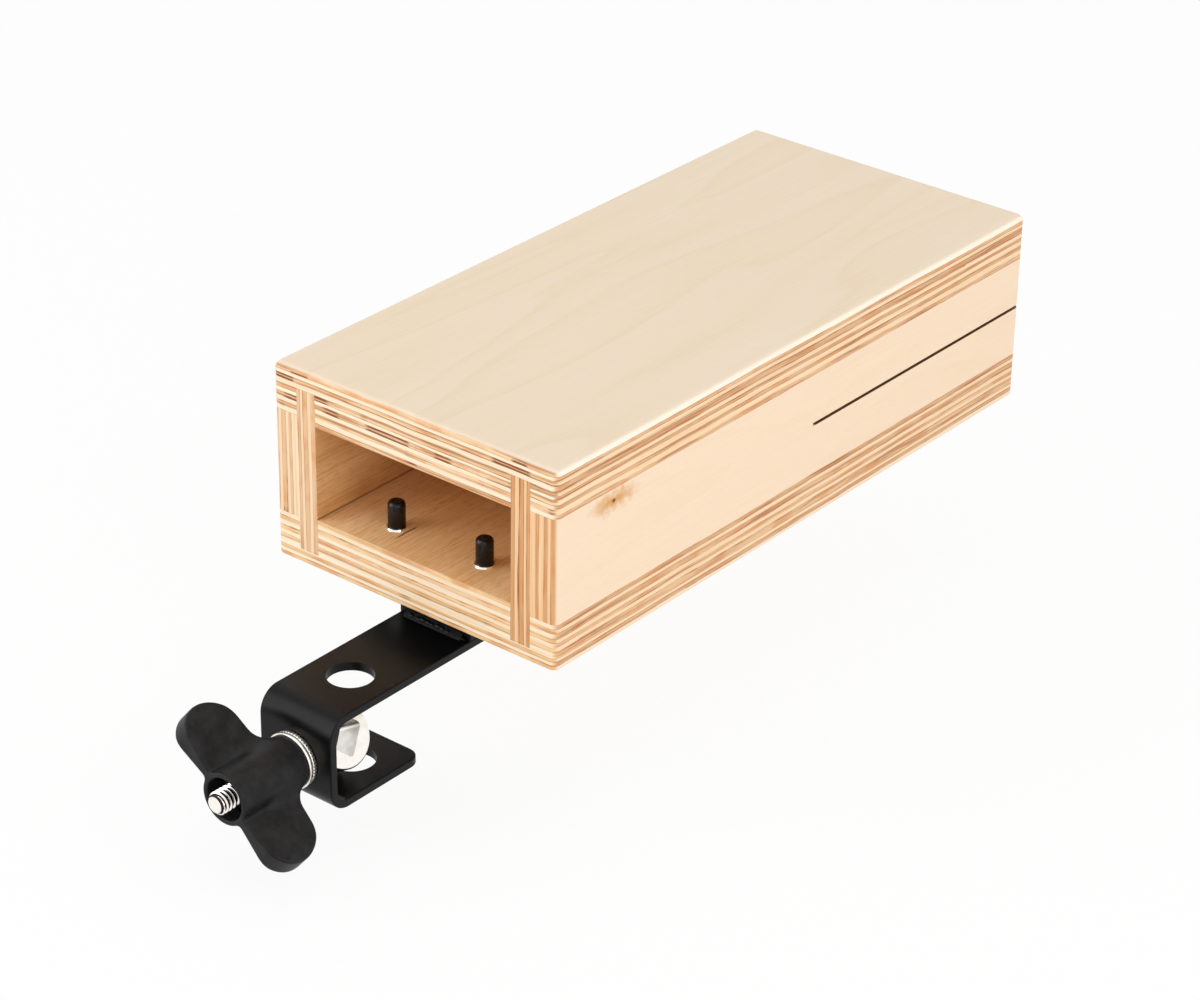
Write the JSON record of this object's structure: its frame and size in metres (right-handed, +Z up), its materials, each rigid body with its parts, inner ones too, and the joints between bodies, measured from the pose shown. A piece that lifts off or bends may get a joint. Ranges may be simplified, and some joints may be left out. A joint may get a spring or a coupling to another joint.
{
  "type": "woodblock",
  "caption": "Hollow rectangular plywood woodblock, open at both ends, with a saw slit in each side and a steel rod clamp with a wing nut under its front end.",
  "frame": {"origin": "centre of the upper rod hole, on the strap's top face", "axes": "+Z up along the stand rod, +Y back along the block, +X to the block's right seen from its front"},
  "size_m": [0.098, 0.2864, 0.099],
  "materials": {
    "birch_plywood": "sanded, clear matt",
    "black_steel": "satin powder coat",
    "plated_steel": "bright plated",
    "black_plastic": "moulded, fine grained",
    "black_vinyl": "smooth, slightly glossy"
  },
  "bodies": {
    "block": {"top_plate": "birch_plywood", "bottom_plate": "birch_plywood", "left_side": "birch_plywood", "right_side": "birch_plywood", "mounting_plate": "black_steel", "riser": "black_steel", "clamp_strap": "black_steel", "left_screw": "plated_steel", "right_screw": "plated_steel", "left_insert": "plated_steel", "right_insert": "plated_steel", "left_cap": "black_vinyl", "right_cap": "black_vinyl"},
    "washers": {"lock_washer": "plated_steel", "flat_washer": "plated_steel"},
    "eye_bolt": {"eye_bolt": "plated_steel"},
    "wing_nut": {"wing_nut": "black_plastic", "nut_bush": "plated_steel"}
  },
  "joints": [
    {"name": "eye_turn", "type": "hinge", "parent": "block", "child": "washers", "pos_m": [0, -0.0213, -0.01511], "axis": [0, -1, 0], "range_deg": [-90, 90]},
    {"name": "eye_draw", "type": "slide", "parent": "washers", "child": "eye_bolt", "axis": [0, 1, 0], "range_m": [-0.00127, 0.00762]},
    {"name": "wing_turn", "type": "hinge", "parent": "block", "child": "wing_nut", "pos_m": [0, -0.0213, -0.01511], "axis": [0, -1, 0], "range_deg": [-360, 2160]}
  ],
  "couplings": [
    {"joint": "eye_draw", "follows": "wing_turn", "m_per_rad": 0.00020213}
  ]
}
